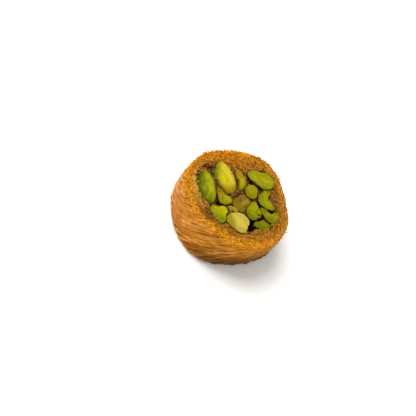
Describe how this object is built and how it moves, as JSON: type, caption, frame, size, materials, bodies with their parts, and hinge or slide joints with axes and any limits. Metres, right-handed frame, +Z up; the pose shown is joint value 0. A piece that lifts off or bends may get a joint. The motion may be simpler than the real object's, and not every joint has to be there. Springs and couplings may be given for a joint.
{
  "type": "rolled pistachio kunafa",
  "caption": "Cut slice of a rolled syrup sweet: a thick ring of slantwise wound pastry strands packed with whole pistachio kernels, resting on its lower cut face.",
  "frame": {"origin": "middle of the box round the roll, on the surface that its lower cut face rests on", "axes": "+Z up along the roll's axis, out of the shown cut face; +Y away from the viewer of that face"},
  "size_m": [0.0536, 0.0537, 0.021],
  "materials": {
    "pastry": "syrup-soaked baked pastry strands, golden brown",
    "filling": "wet, soaked strands and crumbs",
    "kernel": "glazed pistachio green",
    "kernel_pale": "glazed pale yellow",
    "kernel_soaked": "glazed olive brown"
  },
  "bodies": {
    "root": {"pastry": "pastry", "filling": "filling", "kernel_01_long": "kernel", "kernel_02_long_pale": "kernel", "kernel_03_slim": "kernel", "kernel_04_large": "kernel", "kernel_05_round": "kernel", "kernel_06_bean": "kernel", "kernel_07_bean": "kernel", "kernel_08_five_sided": "kernel", "kernel_09_small": "kernel", "kernel_10_pale": "kernel_pale", "kernel_11_three_sided": "kernel", "kernel_12_three_sided": "kernel", "kernel_13_soaked": "kernel_soaked", "kernel_14_shard": "kernel_pale", "base_kernel_01": "kernel", "base_kernel_02": "kernel", "base_kernel_03": "kernel", "base_kernel_04": "kernel", "base_kernel_05": "kernel", "base_kernel_06": "kernel", "base_kernel_07": "kernel", "base_kernel_08": "kernel", "base_kernel_09": "kernel", "base_kernel_10": "kernel", "base_kernel_11": "kernel"}
  },
  "joints": []
}
